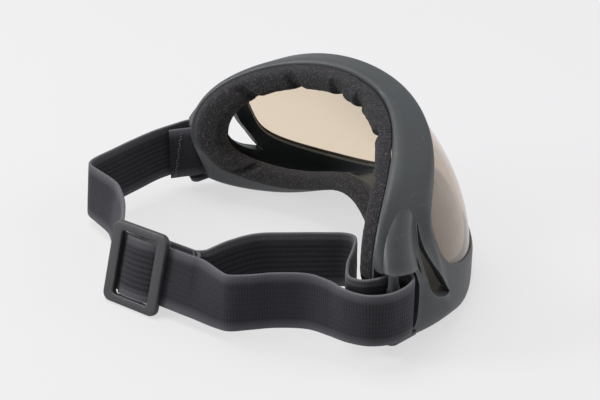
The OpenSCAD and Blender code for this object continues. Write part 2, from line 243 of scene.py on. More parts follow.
def rounded(corners, steps):
    """A closed line by the corners, each eased by a curve that starts its radius away."""
    out, n = [], len(corners)
    for i in range(n):
        p, (q, radius), r = corners[i - 1][0], corners[i], corners[(i + 1) % n][0]
        a = q + (p - q) * min(radius / max(np.linalg.norm(p - q), 1e-9), 0.49)
        b = q + (r - q) * min(radius / max(np.linalg.norm(r - q), 1e-9), 0.49)
        for k in range(steps + 1):
            t = k / steps
            out.append(a * (1 - t) ** 2 + q * 2 * t * (1 - t) + b * t * t)
    return out


def ring_angles(n):
    """Angles round the ring, closer together at the top and bottom middle."""
    half = [-1 + 2 * i / n for i in range(n)]
    return [middle + 90 * s * abs(s) ** 0.5 for middle in (90, 270) for s in half]


# Mesh making
def mesh_from(name, bm, spots=()):
    """The finished mesh, faces outwards; spots gives each vertex its place on the webbing."""
    bmesh.ops.recalc_face_normals(bm, faces=bm.faces)
    if spots:
        layer = bm.loops.layers.uv.new("UVMap")
        for face in bm.faces:
            for corner in face.loops:
                corner[layer].uv = spots[corner.vert]
    mesh = bpy.data.meshes.new(name)
    bm.to_mesh(mesh)
    bm.free()
    return mesh


def new_verts(made):
    return [v for v in made["geom"] if isinstance(v, bmesh.types.BMVert)]


def next_loop(bm, loop):
    """The loop of vertices drawn out once more, vertex for vertex."""
    edges = [bm.edges.get((loop[k - 1], loop[k])) for k in range(len(loop))]
    held, fresh = set(loop), {}
    for vert in new_verts(bmesh.ops.extrude_edge_only(bm, edges=edges)):
        for edge in vert.link_edges:
            if edge.other_vert(vert) in held:
                fresh[edge.other_vert(vert)] = vert
    return [fresh[v] for v in loop]


def swept(name, rows, closed=False, tips=None, uvs=None):
    """Draws the first row, a closed line of points, out through the others and closes the ends."""
    bm = bmesh.new()
    first = loop = [bm.verts.new(p * MM) for p in rows[0]]
    for k in range(len(loop)):
        bm.edges.new((loop[k - 1], loop[k]))
    loops = [loop]
    for row in rows[1:]:
        loop = next_loop(bm, loop)
        for vert, p in zip(loop, row):
            vert.co = p * MM
        loops.append(loop)
    spots = {v: uv for pair in zip(loops, uvs or []) for v, uv in zip(*pair)}
    if closed:
        bmesh.ops.weld_verts(bm, targetmap=dict(zip(next_loop(bm, loop), first)))
    elif tips is None:
        bmesh.ops.holes_fill(bm, edges=bm.edges[:], sides=0)
    else:
        for ring, tip in zip((first, loop), tips):
            bmesh.ops.pointmerge(bm, verts=ring, merge_co=tip * MM)
    return mesh_from(name, bm, spots)


def smooth(mesh, sharp_angle):
    """Shades smooth, with the edges past the angle left sharp."""
    bm = bmesh.new()
    bm.from_mesh(mesh)
    limit = math.radians(sharp_angle)
    for f in bm.faces:
        f.smooth = True
    for e in bm.edges:
        e.smooth = not (len(e.link_faces) == 2 and e.calc_face_angle(0) > limit)
    bm.to_mesh(mesh)
    bm.free()


def hull2(points):
    """The outline stretched tight round the points."""
    points = sorted(set((round(float(x), 6), round(float(y), 6)) for x, y in points))

    def half(run):
        out = []
        for p in run:
            while len(out) > 1 and (out[-1][0] - out[-2][0]) * (p[1] - out[-2][1]) \
                    - (out[-1][1] - out[-2][1]) * (p[0] - out[-2][0]) <= 0:
                out.pop()
            out.append(p)
        return out[:-1]

    return half(points) + half(points[::-1])


def circle(x, y, r, n=32):
    return [(x + r * cos(360 * i / n), y + r * sin(360 * i / n)) for i in range(n)]


def prism(name, loop, low, high, axis):
    """A solid whose outline is the loop, pushed from low to high along X or Z."""
    bm = bmesh.new()
    flat = [(low, *p) if axis == "x" else (*p, low) for p in loop]
    face = bm.faces.new([bm.verts.new(Vector(p) * MM) for p in flat])
    push = Vector((high - low, 0, 0) if axis == "x" else (0, 0, high - low)) * MM
    pushed = new_verts(bmesh.ops.extrude_face_region(bm, geom=[face]))
    bmesh.ops.translate(bm, verts=pushed, vec=push)
    return mesh_from(name, bm)


def box_mesh(name, low, high):
    low, high = Vector(low) * MM, Vector(high) * MM
    bm = bmesh.new()
    place = Matrix.Translation((low + high) / 2) @ Matrix.Diagonal((high - low).to_4d())
    bmesh.ops.create_cube(bm, size=1, matrix=place)
    return mesh_from(name, bm)


def mirrored(mesh):
    copy = mesh.copy()
    copy.transform(Matrix.Scale(-1, 4, (1, 0, 0)))
    copy.flip_normals()
    return copy


def cut(mesh, tools):
    """The mesh with the tool solids cut away, one after another."""
    ob = new_object("cut_base", mesh)
    cutters = [new_object(f"cut_tool_{i}", t) for i, t in enumerate(tools)]
    for c in cutters:
        mod = ob.modifiers.new(c.name, "BOOLEAN")
        mod.operation, mod.object, mod.solver = "DIFFERENCE", c, "EXACT"
    bpy.context.view_layer.update()
    finished = ob.evaluated_get(bpy.context.evaluated_depsgraph_get())
    done = bpy.data.meshes.new_from_object(finished)
    for o in [ob] + cutters:
        bpy.data.objects.remove(o)
    return done


def joined(name, meshes):
    bm = bmesh.new()
    for m in meshes:
        bm.from_mesh(m)
    out = bpy.data.meshes.new(name)
    bm.to_mesh(out)
    bm.free()
    return out


def bevelled(mesh, width, segments=3):
    bm = bmesh.new()
    bm.from_mesh(mesh)
    bmesh.ops.remove_doubles(bm, verts=bm.verts, dist=1e-6)
    edges = [e for e in bm.edges if e.calc_face_angle(0) > math.radians(40)]
    bmesh.ops.bevel(bm, geom=edges, offset=width * MM, segments=segments, profile=0.5,
                    affect="EDGES", clamp_overlap=True, material=-1)
    bmesh.ops.recalc_face_normals(bm, faces=bm.faces)
    bm.to_mesh(mesh)
    bm.free()
    return mesh


def tube(name, path, radius, sides, closed=False):
    """A round tube along the path, in millimetres, tapered at its ends unless it is closed."""
    path = [vec(*p) for p in path]
    n = len(path)
    rows, side = [], None
    for i, p in enumerate(path):
        before = path[i - 1] if i or closed else p
        after = path[(i + 1) % n] if i < n - 1 or closed else p
        run = unit(after - before)
        if side is None:
            side = np.cross(run, vec(0, 0, 1) if abs(run[2]) < 0.9 else vec(1, 0, 0))
        side = unit(side - run * np.dot(side, run))
        other = np.cross(run, side)
        r = radius * (0.45 if not closed and i in (0, n - 1) else 1)
        turns = [360 * k / sides for k in range(sides)]
        rows.append([p + side * cos(a) * r + other * sin(a) * r for a in turns])
    return swept(name, rows, closed)


# Materials
class Tree:
    """The node tree of a material or of the surround."""
    def __init__(self, owner, out="OutputMaterial"):
        owner.use_nodes = True
        self.owner, self.tree = owner, owner.node_tree
        self.tree.nodes.clear()
        self.out = self.tree.nodes.new("ShaderNode" + out)

    def put(self, socket, value):
        if isinstance(value, bpy.types.NodeSocket):
            self.tree.links.new(value, socket)
        else:
            socket.default_value = value

    def add(self, kind, inputs=None, output=0, **settings):
        node = self.tree.nodes.new("ShaderNode" + kind)
        for key, value in settings.items():
            setattr(node, key, value)
        for key, value in (inputs or {}).items():
            self.put(node.inputs[key], value)
        return node.outputs[output]

    def math(self, operation, *values):
        return self.add("Math", dict(enumerate(values)), operation=operation)

    def ramp(self, value, *stops):
        socket = self.add("ValToRGB", {0: value})
        for element, (at, level) in zip(socket.node.color_ramp.elements, stops):
            element.position = at
            element.color = (level, level, level, 1)
        return socket

    def noise(self, where, scale, detail=3, rough=0.55):
        return self.add("TexNoise", {"Vector": where, "Scale": scale,
                                     "Detail": detail, "Roughness": rough})

    def blend(self, factor, a, b):
        socket = self.add("Mix", data_type="RGBA", output=2)
        node = socket.node
        for index, value in ((0, factor), (6, a), (7, b)):
            self.put(node.inputs[index], value)
        return socket

    def bump(self, height, strength, distance, normal=None):
        inputs = {"Height": height, "Strength": strength, "Distance": distance}
        return self.add("Bump", inputs if normal is None else {**inputs, "Normal": normal})

    def finish(self, shader):
        self.tree.links.new(shader, self.out.inputs["Surface"])
        return self.owner


def material_tree(name):
    return Tree(bpy.data.materials.new(name))


def plastic(name, colour, light, rough, grain):
    """Moulded plastic: a fine grain, soft mottling, rubbed edges and a little dust."""
    t = material_tree(name)
    where = t.add("TexCoord", output=3)
    broad = t.noise(where, 28, 4)
    fine = t.noise(where, 2600, 2, 0.5)
    dust = t.ramp(t.noise(where, 420, 4, 0.7), (0.6, 0.0), (0.78, 1.0))
    edge = t.ramp(t.add("NewGeometry", output=7), (0.505, 0.0), (0.56, 1.0))
    mottled = (*[c * 1.22 for c in colour], 1)
    base = t.blend(t.ramp(broad, (0.35, 0.0), (0.7, 1.0)), (*colour, 1), mottled)
    base = t.blend(t.math("MULTIPLY", edge, 0.35), base, (*light, 1))
    base = t.blend(t.math("MULTIPLY", dust, 0.10), base, (0.32, 0.31, 0.30, 1))
    roughness = t.math("ADD", t.math("MULTIPLY", broad, 0.12), rough)
    normal = t.bump(fine, grain, 0.00012)
    normal = t.bump(t.noise(where, 90, 2), 0.10, 0.0006, normal)
    return t.finish(t.add("BsdfPrincipled", {
        "Base Color": base, "Roughness": roughness, "Normal": normal, "Specular IOR Level": 0.42}))


def foam_material():
    """Open-cell foam: small dark pores in a brownish charcoal body, with lighter specks and soft
    lighter patches.
    """
    t = material_tree("foam")
    where = t.add("TexCoord", output=3)
    pores = t.add("TexVoronoi", {"Vector": where, "Scale": 1250.0, "Randomness": 1.0}, feature="F1")
    cell = t.ramp(pores, (0.12, 0.0), (0.55, 1.0))
    speck = t.noise(where, 900, 5, 0.75)
    patch = t.noise(where, 60, 4, 0.6)
    base = t.blend(cell, (0.0022, 0.0020, 0.0024, 1), (0.0125, 0.0112, 0.0122, 1))
    base = t.blend(t.ramp(speck, (0.50, 0.0), (0.72, 0.8)), base, (0.085, 0.078, 0.082, 1))
    base = t.blend(t.math("MULTIPLY", patch, 0.35), base, (0.020, 0.018, 0.020, 1))
    height = t.math("ADD", t.math("MULTIPLY", cell, 0.5), speck)
    normal = t.bump(height, 0.75, 0.0007)
    return t.finish(t.add("BsdfPrincipled", {
        "Base Color": base, "Roughness": 0.95, "Normal": normal, "Specular IOR Level": 0.10,
        "Sheen Weight": 0.06, "Sheen Roughness": 0.6}))


# The webbing's ribs across its width, and its knit's rows and columns in metres
rib_count, knit_row, knit_column = 11, 0.0011, 0.00085


def webbing_material():
    """Elastic webbing: ribs along it, a fine knit across them and fibres; painted shade between the
    ribs, painted highlight on its edges.

    Each face's place is metres along and across the webbing, with 1 more across where it faces out.
    """
    t = material_tree("webbing")
    uv = t.add("TexCoord", output=2)
    parts = t.add("SeparateXYZ", {0: uv}).node
    along, ribbed = parts.outputs[0], t.math("GREATER_THAN", parts.outputs[1], 0.5)
    across = t.math("SUBTRACT", parts.outputs[1], ribbed)
    # Rib profile: the bump's height, and painted shade that darkens the colour in the valleys
    # between the ribs
    rib_and_valley_shade = t.math("SINE", t.math("MULTIPLY", across, math.tau * rib_count / (strap_w * MM)))
    rib_and_valley_shade = t.math("MULTIPLY_ADD", rib_and_valley_shade, 0.5, 0.5)
    wobble = t.math("MULTIPLY", t.noise(uv, 260, 3), 0.0016)
    row = t.math("SINE", t.math("MULTIPLY", t.math("ADD", along, wobble), math.tau / knit_row))
    row = t.math("MULTIPLY_ADD", row, 0.5, 0.5)
    column = t.math("SINE", t.math("MULTIPLY", across, math.tau / knit_column))
    knit = t.math("MULTIPLY", row, t.math("MULTIPLY_ADD", column, 0.5, 0.5))
    # painted highlight: a pale band along both edges of the webbing
    highlight_from, highlight_to = 0.455 * strap_w * MM, 0.495 * strap_w * MM
    edge = t.ramp(t.math("ABSOLUTE", across), (highlight_from, 0.0), (highlight_to, 1.0))
    fibre = t.noise(uv, 2300, 4, 0.7)
    fade = t.noise(uv, 42, 3, 0.6)
    depth = t.math("MULTIPLY_ADD", ribbed, 0.75, 0.25)
    rib_and_valley_shade = t.math("MULTIPLY_ADD", t.math("SUBTRACT", rib_and_valley_shade, 0.5), depth, 0.5)
    # painted shade: the colour is darker in the rib valleys and paler on the rib crests
    base = t.blend(rib_and_valley_shade, (0.0060, 0.0055, 0.0069, 1), (0.0195, 0.0184, 0.0224, 1))
    base = t.blend(t.math("MULTIPLY", knit, 0.6), base, (0.034, 0.032, 0.0385, 1))
    base = t.blend(t.ramp(fibre, (0.58, 0.0), (0.78, 0.8)), base, (0.045, 0.043, 0.050, 1))
    base = t.blend(t.math("MULTIPLY", fade, 0.25), base, (0.020, 0.0195, 0.0235, 1))
    # painted highlight: the webbing's edges blended towards a pale grey
    base = t.blend(t.math("MULTIPLY", edge, 0.85), base, (0.17, 0.165, 0.178, 1))
    height = t.math("ADD", rib_and_valley_shade, t.math("MULTIPLY", knit, 0.55))
    height = t.math("ADD", height, t.math("MULTIPLY", fibre, 0.3))
    normal = t.bump(height, 0.85, 0.00028)
    return t.finish(t.add("BsdfPrincipled", {
        "Base Color": base, "Roughness": 0.88, "Normal": normal, "Specular IOR Level": 0.14,
        "Sheen Weight": 0.10, "Sheen Roughness": 0.45, "Sheen Tint": (0.8, 0.8, 0.9, 1)}))


def thread_material():
    """Dark sewing thread with a fine twist."""
    t = material_tree("thread")
    where = t.add("TexCoord", output=3)
    twist = t.noise(where, 5200, 3, 0.6)
    base = t.blend(twist, (0.03, 0.03, 0.034, 1), (0.12, 0.12, 0.13, 1))
    return t.finish(t.add("BsdfPrincipled", {
        "Base Color": base, "Roughness": 0.7, "Normal": t.bump(twist, 0.6, 0.0001),
        "Sheen Weight": 0.3}))


lens_ior = 1.45


def lens_material():
    """Tinted clear lens: each skin tints what passes and mirrors more at a grazing angle."""
    t = material_tree("lens_clear")
    where = t.add("TexCoord", output=3)
    haze = t.noise(where, 35, 4, 0.6)
    streaks = t.add("Mapping", {"Vector": where, "Scale": (300, 300, 2600)})
    scratch = t.ramp(t.noise(streaks, 1, 3, 0.7), (0.62, 0.0), (0.72, 1.0))
    rough = t.math("MULTIPLY_ADD", haze, 0.05, t.math("MULTIPLY", scratch, 0.05))
    normal = t.bump(t.noise(where, 22, 2), 0.02, 0.001)
    slant = t.math("POWER", t.add("LayerWeight", {"Blend": 0.5}, output=1), 2.2)
    tint = t.blend(slant, (0.99, 0.92, 0.82, 1), (0.66, 0.58, 0.51, 1))
    clear = t.add("BsdfTransparent", {"Color": tint})
    mirror = t.add("BsdfGlossy", {
        "Color": (1, 0.97, 0.95, 1), "Roughness": rough, "Normal": normal})
    veil = t.add("BsdfDiffuse", {"Color": (0.70, 0.62, 0.54, 1)})
    body = t.add("MixShader", {0: t.math("MULTIPLY_ADD", haze, 0.04, 0.02), 1: clear, 2: veil})
    inside = t.add("NewGeometry", output=6)
    ior = t.math("MULTIPLY_ADD", inside, 1 / lens_ior - lens_ior, lens_ior)
    fresnel = t.add("Fresnel", {"IOR": ior})
    return t.finish(t.add("MixShader", {0: fresnel, 1: body, 2: mirror}))


FRAME_PLASTIC = plastic("frame_plastic_moulded", (0.0180, 0.0205, 0.0219),
                        (0.10, 0.104, 0.108), 0.42, 0.30)
SLIDER_PLASTIC = plastic("slider_plastic_moulded", (0.0125, 0.0125, 0.0140),
                         (0.06, 0.06, 0.065), 0.44, 0.18)
FOAM = foam_material()
WEBBING = webbing_material()
THREAD = thread_material()
LENS = lens_material()


def piece(name, mesh, material, body, node=None, declare=None):
    """One piece of the look: its mesh, material and slot, and the body and node it stands for."""
    mesh.materials.clear()
    mesh.materials.append(material)
    ob = new_object(name, mesh)
    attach(ob, body)
    if node:
        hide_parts(node)
    if declare:
        declare(ob)


# Shell with its lens groove, vents, strap slots and posts
vent_top, vent_bend, vent_low = vec(22.3, 17), vec(23.4, -8), vec(7.5, -15.5)
vent_tip, vent_fullness = 0.3, 1.45
boss_rise, boss_steps, boss_stand, boss_depth = 24, 18, 2, 4.1
boss_rear, boss_fore, boss_ahead, boss_sunk, boss_in = 8, 6.5, 10, 2.2, 1.2
post_into, inside_x, outside_x, far_off = 0.6, 60, 100, 150
slot_r, slot_step, way_in, way_front, way_rear, way_open = 2.5, 3.5, 4.6, 3.5, 6.5, 16.6
bar_thick, bar_over, bar_fore, bar_inward = 1.2, 0.8, 10.5, 3.4


def vent_mid(t):
    return vent_top * (1 - t) ** 2 + vent_bend * 2 * t * (1 - t) + vent_low * t * t


def vent_loop(grow, n):
    """The vent's outline seen from the side, a bent leaf widest below its middle."""
    def side(t, s):
        d = unit(vent_mid(t + 0.01) - vent_mid(t - 0.01))
        w = vent_w / 2 * sin(180 * max(0.0, t) ** vent_fullness)
        return vent_mid(t) + vec(-d[1], d[0]) * s * (w + vent_tip + grow)
    return [side(i / n, 1) for i in range(n + 1)] + [side(i / n, -1) for i in range(n, -1, -1)]


def boss():
    """The swelling over the strap post, which runs up and in until the shell's skin takes over."""
    rows = []
    for k in range(boss_steps + 1):
        t = k / boss_steps
        z = slot_top + post_into + boss_rise * t
        flange_x = flange_half_w * (1 - (z / flange_top) ** brow_power) ** (1 / brow_power)
        skin = flange_x + shell_proud + arm_bulge * math.exp(-(((z - arm_z) / arm_h) ** 4))
        stand = boss_stand + boss_depth * (1 - t ** 1.6)
        mid = vec(skin - boss_sunk, face_y(flange_x) - boss_ahead, z)
        row = []
        for a in range(0, 360, 10):
            across = signed_power(cos(a), 0.8) * (stand if cos(a) > 0 else boss_in)
            reach = boss_rear if sin(a) > 0 else boss_fore
            along = signed_power(sin(a), 0.8) * reach * (1 - 0.35 * t)
            row.append(mid + vec(across, along, 0))
        if k == 0:
            rows.append([p + (mid - p) * 0.06 - vec(0, 0, 0.5) for p in row])
        rows.append(row)
    return swept("boss", rows)


def frame_mesh():
    """The moulded shell, cut through for its vents, slots and the webbing's way round each post."""
    rows = [rounded(section(a), 4) for a in ring_angles(120)]
    shell = swept("shell", rows, closed=True)
    ahead, front = post_y - post_d / 2 - slot_r, post_y - slot_front
    slot = hull2(circle(ahead, slot_top - slot_r, slot_r) + circle(ahead, slot_low + slot_r, slot_r)
                 + circle(front + 2, slot_top - 3, 3) + circle(front + 1.4, slot_low + 4, 2.6))
    inner, outer = post_x - post_d / 2 - way_in, post_x - post_d / 2 + 0.2
    tools = [prism("vent", vent_loop(0, 30), inside_x, outside_x, "x"),
             prism("slot", slot, post_x - slot_step, outside_x, "x"),
             box_mesh("way", (inner, front - way_front, slot_low),
                      (outer, post_y + way_rear, slot_top)),
             box_mesh("way_out", (inner, post_y + 0.6, slot_low),
                      (outer + 1.7, post_y + way_open, slot_top))]
    tools += [mirrored(t) for t in tools]
    tools.append(box_mesh("floor_cut", (-far_off, -far_off, floor_z - far_off),
                          (far_off, far_off, floor_z)))
    shell = cut(shell, tools)
    smooth(shell, 32)
    bar = hull2(circle(post_x, post_y, post_d / 2 + bar_over)
                + circle(post_x - bar_inward, post_y + 1, 2.5)
                + circle(post_x - 1.8, post_y - bar_fore, 2))
    post = circle(post_x, post_y, post_d / 2, 40)
    extras = [bevelled(prism("bar", bar, slot_low - bar_thick, slot_low, "z"), 0.3, 2),
              prism("post", post, slot_low - post_into, slot_top + post_into, "z"),
              boss()]
    for m in extras:
        smooth(m, 50)
    extras += [mirrored(m) for m in extras]
    return joined("shell", [shell] + extras)


shell_mesh = frame_mesh()
piece("frame_shell", shell_mesh, FRAME_PLASTIC, "frame", "face_frame")


# Rounded lip along the edge of each vent, laid on the shell's outer skin
lip_r, lip_grow, lip_sunk = 0.32, 0.15, 0.12


def vent_lips():
    tree = BVHTree.FromPolygons([v.co.copy() for v in shell_mesh.vertices],
                                [tuple(p.vertices) for p in shell_mesh.polygons])
    meshes = []
    for s in (-1, 1):
        path = []
        for y, z in vent_loop(lip_grow, 44):
            start = Vector((s * 1.2 * outside_x, y, z)) * MM
            hit = tree.ray_cast(start, Vector((-s, 0, 0)))[0]
            path.append(hit / MM - Vector((s * lip_sunk, 0, 0)))
        meshes.append(tube("lip", path, lip_r, 8, closed=True))
    lips = joined("vent_lips", meshes)
    smooth(lips, 80)
    return lips


piece("vent_lips", vent_lips(), FRAME_PLASTIC, "frame")


# Lens, each skin drawn out ring by ring from a point near its middle to its edge in the groove
def lens_mesh():
    hub, rings, grow = 8, 30, groove_depth - lens_gap
    outs = [(opening_outline(0, a), rim_out(a) * grow) for a in ring_angles(110)]

    def ring(r, back):
        row = []
        for q, d in outs:
            x, z = (q[0] + d[0]) * r, hub + (q[1] + d[2] - hub) * r
            row.append(vec(x, lens_y(x, z, back), z))
        return row

    steps = [k / rings for k in range(1, rings + 1)]
    rows = [ring(r, 0) for r in steps] + [ring(r, lens_t) for r in steps[::-1]]
    tips = [vec(0, lens_y(0, hub, back), hub) for back in (0, lens_t)]
    mesh = swept("lens", rows, tips=tips)
    smooth(mesh, 40)
    return mesh


piece("lens_sheet", lens_mesh(), LENS, "frame", "lens")

# Face foam, scalloped where air passes
notch_angles = [38, 62, 84, 96, 118, 142, 218, 322]
notch_half_w, notch_dip, foam_crown, foam_toe = 2.8, 3.4, 5.2, 2.2


def notch(a):
    """How far into a scallop the foam is at angle a, from 0 to 1."""
    near = min(abs((a - n + 180) % 360 - 180) for n in notch_angles)
    return 1 / (1 + math.exp((near - notch_half_w) * 3.2))


def over(a):
    """How far the foam reaches past the flange's edge along the cheeks."""
    return foam_over * min(1.0, max(0.0, -sin(a) - 0.3) * 4)


def foam_mesh():
    rows = []
    for a in ring_angles(300):
        n, past = notch(a), over(a)
        c = 0.12 * notch_depth * n
        w = foam_w - 0.5 * above(a) - c
        ripple = 0.25 * noise(Vector((cos(a) * 9, sin(a) * 9, 3.0))) \
            + 0.18 * noise(Vector((cos(a) * 31, sin(a) * 31, 7.0)))
        ragged = 0.5 * noise(Vector((cos(a) * 55, sin(a) * 55, 1.0))) * past / foam_over
        high = foam_t - 0.15 + ripple
        dip = notch_dip * n
        row = [(flange_pt(a, w, foam_seat), 0.5),
               (flange_pt(a, w - 0.3 + ripple, (high - dip) * 0.55), 2.4),
               (flange_pt(a, w - 2.2 + c * 0.4 + ripple, high - dip), 2.2),
               (flange_pt(a, foam_crown - past, high - dip * 0.5), 2.6),
               (flange_pt(a, foam_toe - past + ragged, foam_t * 0.78), 2.4),
               (flange_pt(a, 0.9 - past + ragged, foam_seat), 0.5)]
        rows.append(rounded(row, 4))
    mesh = swept("foam", rows, closed=True)
    smooth(mesh, 60)
    return mesh


piece("foam_seal", foam_mesh(), FOAM, "frame", "face_foam",
      lambda o: o)

# Strap, swept along the CAD's own route
slider_turn, slider_lean, slider_corner, window_play, link_h = 24, 18, 3.6, 1.05, 1.6
rail_w = (slider_h - strap_w) / 2 - window_play
lap, plate_at = strap_t + strap_play, strap_t / 2 + strap_play
bar_at = -strap_t * 1.5 - 2 * strap_play - bar_t / 2
leg_out, leg_in, leg_end = -lap, 2 * bar_at + lap, -9
inner_at, loop_r = leg_in - lap, (leg_out - leg_in) / 2
bar_reach = slider_h / 2 - rail_w + link_h
slider_low = max(slider_h / 2 * cos(slider_lean) - plate_at * sin(slider_lean),
                 bar_reach * cos(slider_lean) - (bar_at - bar_t / 2) * sin(slider_lean))
slider_mid = vec(1.4, 104.8, floor_z + slider_low)


def beside_slider(s, off):
    """A stop of the straight run through the slider, s along it and off to its outside."""
    c, d, out = cos(slider_turn), sin(slider_turn), off * cos(slider_lean)
    return [slider_mid[0] + c * s - d * out, slider_mid[1] + d * s + c * out,
            slider_mid[2] + off * sin(slider_lean), slider_lean]


def placed_from(place, stops):
    return [[place[0] + q[0], place[1] + q[1], place[2] + q[2], q[3]] for q in stops]


# Stops of the strap's route: across, back, up and the lean of the webbing in degrees
far_post, near_post = (post_x, post_y, strap_level), (-post_x, post_y, strap_level)
far_loop = [[3, 11.2, -2.5, 0], [-0.4, 5.6, -1.5, 0], [-3.6, 0.5, -0.5, 0], [-2.4, -4.4, -0.5, 0],
            [1, -6.1, -0.5, 0], [4.2, -4, -0.5, 0], [5.4, 1, -0.6, 1], [5.8, 8, -1.5, 2],
            [4.8, 18, -2.1, 3], [1.6, 30, -2.9, 5], [-2, 42, -3.6, 5], [-4.2, 50.8, -4.1, 2]]
far_run = [[77.6, -11.4, 0.9, -3], [73.6, -9.6, 0.8, -6], [65.1, -10.4, 0.8, -8],
           [53.1, -11.4, 0.7, -11], [44.4, -9.6, 0.4, -12], [36, -6.6, -0.1, -14],
           [26, -1.4, -0.2, -16], [14.6, 4.8, 0, -18]]
near_run = [[-40, -15.4, 0.4, -7], [-45.5, -17.6, 1, -3], [-50, -24.4, 1.7, 0],
            [-54.4, -32.8, 2.3, 0], [-62.4, -42.6, 3.1, 0]]
near_loop = [[14.5, 20, -1.5, 1], [4.5, 18, -0.5, 6], [-3, 13.6, 0, 9], [-6.2, 6.6, 0, 8],
             [-5.8, -0.5, 0, 5], [-3.8, -5.6, 0, 2], [-1, -8, 0, 0], [2.2, -6.4, 0, 0],
             [3.8, -1.5, 0, 0], [4.1, 4.5, 0, 0], [6.2, 10, -0.2, 0], [12, 12.6, -0.4, 0],
             [21, 7.4, -0.6, 0]]
inner_run = [[-55.8, -67.8, 3.7, 0], [-47.4, -74.2, 3.5, 0], [-42, -72.8, 3.3, 0],
             [-36.6, -65.2, 2.9, 2], [-29.2, -53.8, 2.3, 4], [-23, -42.3, 1.9, 6],
             [-21.4, -31, 0.8, 9], [-20.4, -21.4, -1.5, 13]]
straight_out = [12, 4, -8, -20, -26, -31]
straight_in = [-21.5, -20, -10, 1]


def negated(stop):
    return [stop[0], stop[1], stop[2], -stop[3]]


band_route = placed_from(far_post, far_loop) + placed_from(slider_mid, far_run) \
    + [negated(beside_slider(s, 0)) for s in straight_out] \
    + placed_from(slider_mid, near_run) + placed_from(near_post, near_loop) \
    + placed_from(slider_mid, inner_run) \
    + [beside_slider(s, inner_at) for s in straight_in]
bar_route = [[s, leg_out, 0, 0] for s in (leg_end, -4, 0)] \
    + [[bar_w / 2 + 0.1 + loop_r * cos(a), bar_at + loop_r * sin(a), 0, 0]
       for a in (75, 45, 15, -15, -45, -75)] \
    + [[s, leg_in, 0, 0] for s in (0, -4, leg_end)]


def eased(route, steps):
    """A smooth line through the stops of a route."""
    r = [vec(*p) for p in route]
    out = []
    for i in range(len(r) - 1):
        p, q, s, u = r[max(i - 1, 0)], r[i], r[i + 1], r[min(i + 2, len(r) - 1)]
        for k in range(steps):
            t = k / steps
            out.append(0.5 * (2 * q + (s - p) * t + (2 * p - 5 * q + 4 * s - u) * t * t
                              + (3 * q - p - 3 * s + u) * t ** 3))
    return out + [r[-1]]


def webbing_frame(route, i):
    """Middle, direction up the width and outward face direction of the webbing at one stop."""
    a, b, p = route[max(i - 1, 0)], route[min(i + 1, len(route) - 1)], route[i]
    run = unit((b - a)[:2])
    out = vec(-run[1], run[0])
    up = vec(-out[0] * sin(p[3]), -out[1] * sin(p[3]), cos(p[3]))
    face = vec(out[0] * cos(p[3]), out[1] * cos(p[3]), sin(p[3]))
    return p[:3], up, face


selvedge_w, selvedge_thin, edge_round = 1.2, 0.12, 0.45


def webbing_profile():
    """The outline of the webbing's section, up its width and out through it, with soft edges."""
    half, t, count = strap_w / 2, strap_t / 2 - 0.05, 14
    pts = []
    for k in range(count + 1):
        v = half - edge_round - 2 * (half - edge_round) * k / count
        pts.append((v, t - selvedge_thin * (abs(v) > half - selvedge_w)))
    side = [(-half + 0.13, 0.42), (-half + 0.02, 0.0), (-half + 0.13, -0.42)]
    back = [(-v, -h) for v, h in pts]
    return pts + side + back + [(-v, -h) for v, h in side]


def webbing_mesh(name, route, steps):
    """The webbing along a route, its faces a little uneven, marked with their place along it."""
    route = eased(route, steps)
    profile = webbing_profile()
    rows, uvs, run = [], [], 0.0
    for i in range(len(route)):
        if i:
            run += float(np.linalg.norm(route[i][:3] - route[i - 1][:3]))
        mid, up, face = webbing_frame(route, i)
        ripple = [0.12 * noise(Vector((run * 0.09, v * 0.16, 2.0))) for v, h in profile]
        rows.append([mid + up * v + face * (h + r) for (v, h), r in zip(profile, ripple)])
        uvs.append([(run * MM, v * MM + (1.0 if h > 0 else 0.0)) for v, h in profile])
    mesh = swept(name, rows, uvs=uvs)
    smooth(mesh, 55)
    return mesh


band = webbing_mesh("strap_webbing", band_route, 10)
piece("strap_webbing_run", band, WEBBING, "strap", "strap_band")
in_slider = Matrix.Translation(Vector(slider_mid) * MM) \
    @ Matrix.Rotation(math.radians(slider_turn), 4, "Z") \
    @ Matrix.Rotation(math.radians(slider_lean), 4, "X")


def placed(mesh):
    """Moves a mesh drawn upright and square to the slider's turned and leaning place."""
    mesh.transform(in_slider)
    return mesh


loop_mesh = placed(webbing_mesh("bar_loop", bar_route, 8))
piece("bar_loop_webbing", loop_mesh, WEBBING, "slider", "strap_bar_loop")


# The webbing swells a little in the slider's window: a thin sheet, arched along the run
swell_rise, swell_low, swell_thick, swell_sag = 2.5, -0.6, 0.9, 0.14


def swell_mesh():
    length, high = slider_l - 2 * bar_w - 0.8, strap_w + 0.4
    bm = bmesh.new()
    bmesh.ops.create_grid(bm, x_segments=36, y_segments=40, size=0.5)
    under = set(new_verts(bmesh.ops.extrude_face_region(bm, geom=bm.faces[:])))
    spots = {}
    for vert in bm.verts:
        s, v = length * vert.co.x, high * vert.co.y
        rise = max(0.0, 1 - (2 * vert.co.x) ** 2) ** 0.8 * swell_rise
        spots[vert] = (s * MM + 0.3, v * MM + 1.0)
        if vert in under:
            out = max(0.0, rise - swell_thick) - 0.42
        else:
            out = rise * (1 - swell_sag + swell_sag * math.cos(math.pi * v / high)) - 0.12
        vert.co = Vector((s, strap_t / 2 + out, v + swell_low)) * MM
    mesh = mesh_from("swell", bm, spots)
    smooth(mesh, 60)
    return placed(mesh)


piece("window_swell", swell_mesh(), WEBBING, "slider")


# Slider: a frame with rounded corners and edges, a bar behind it and the two links
window_corner, corner_steps = 1.4, 8


def rounded_rect(half_x, half_z, r):
    x, z = half_x - r, half_z - r
    pts = []
    for cx, cz, start in ((x, z, 0), (-x, z, 90), (-x, -z, 180), (x, -z, 270)):
        turns = [start + 90 * k / corner_steps for k in range(corner_steps + 1)]
        pts += [(cx + r * cos(a), cz + r * sin(a)) for a in turns]
    return pts


